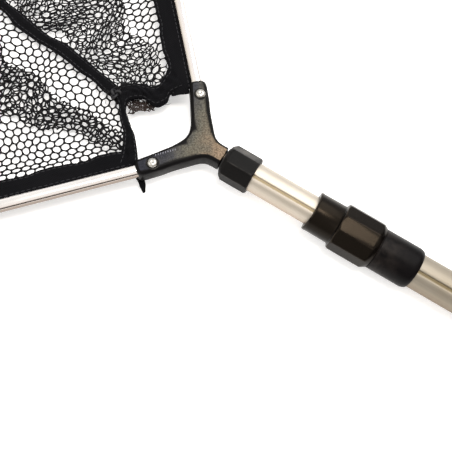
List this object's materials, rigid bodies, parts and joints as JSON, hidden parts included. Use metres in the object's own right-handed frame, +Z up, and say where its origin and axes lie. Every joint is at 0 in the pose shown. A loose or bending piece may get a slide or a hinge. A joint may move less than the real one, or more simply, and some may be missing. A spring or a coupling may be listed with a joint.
{
  "type": "leaf skimmer net",
  "caption": "Telescopic pool leaf skimmer: triangular slotted aluminium frame with a black mesh bag, riveted yoke, twist-lock pole, foam grip and hanging cap.",
  "frame": {"origin": "centre of the underside of the whole skimmer as it lies flat, net frame level and pole retracted as in rest", "axes": "+X along the pole from the net head to the hand grip; +Y to the right-hand arm seen from the grip; +Z up, out of the bag's mouth"},
  "size_m": [1.2396, 0.376, 0.0352],
  "materials": {
    "pole_aluminium": "satin, drawn along its length, warm silver",
    "frame_aluminium": "satin bright",
    "rivet_metal": "bright domed",
    "lock_plastic": "semi-gloss black",
    "collet_plastic": "natural nylon",
    "collar_plastic": "semi-matt black with worn edges",
    "yoke_plastic": "worn, dusty black",
    "grip_foam": "closed-cell foam, matt",
    "washer_rubber": "matt",
    "hem_fabric": "woven tape, matt black",
    "net_fabric": "knitted hexagonal mesh, black"
  },
  "bodies": {
    "handle": {"outer_pole": "pole_aluminium", "lock_base": "lock_plastic", "lock_collet": "collet_plastic", "hand_grip": "grip_foam", "end_cap": "collar_plastic"},
    "lock": {"lock_nut": "lock_plastic"},
    "extension": {"inner_pole": "pole_aluminium", "collar": "collar_plastic", "pole_plug": "collar_plastic", "inner_bushing": "collet_plastic"},
    "head": {"yoke": "yoke_plastic", "stud": "rivet_metal", "stud_washer": "washer_rubber", "frame_hoop": "frame_aluminium", "rivet_left": "rivet_metal", "rivet_right": "rivet_metal", "welt_cord": "hem_fabric", "hem_tape": "hem_fabric", "hem_crotch": "hem_fabric", "hem_tail": "hem_fabric", "net_panel_left": "net_fabric", "net_panel_right": "net_fabric", "seam_tape": "hem_fabric"}
  },
  "joints": [
    {"name": "pole_slide", "type": "slide", "parent": "handle", "child": "extension", "axis": [-1, 0, 0], "range_m": [-0.044, 0.6]},
    {"name": "lock_twist", "type": "hinge", "parent": "handle", "child": "lock", "pos_m": [-0.2652, 0, 0.0176], "axis": [1, 0, 0], "range_deg": [0, 180]},
    {"name": "head_turn", "type": "hinge", "parent": "extension", "child": "head", "pos_m": [-0.3582, 0, 0.0176], "axis": [1, 0, 0], "range_deg": [0, 360]}
  ]
}
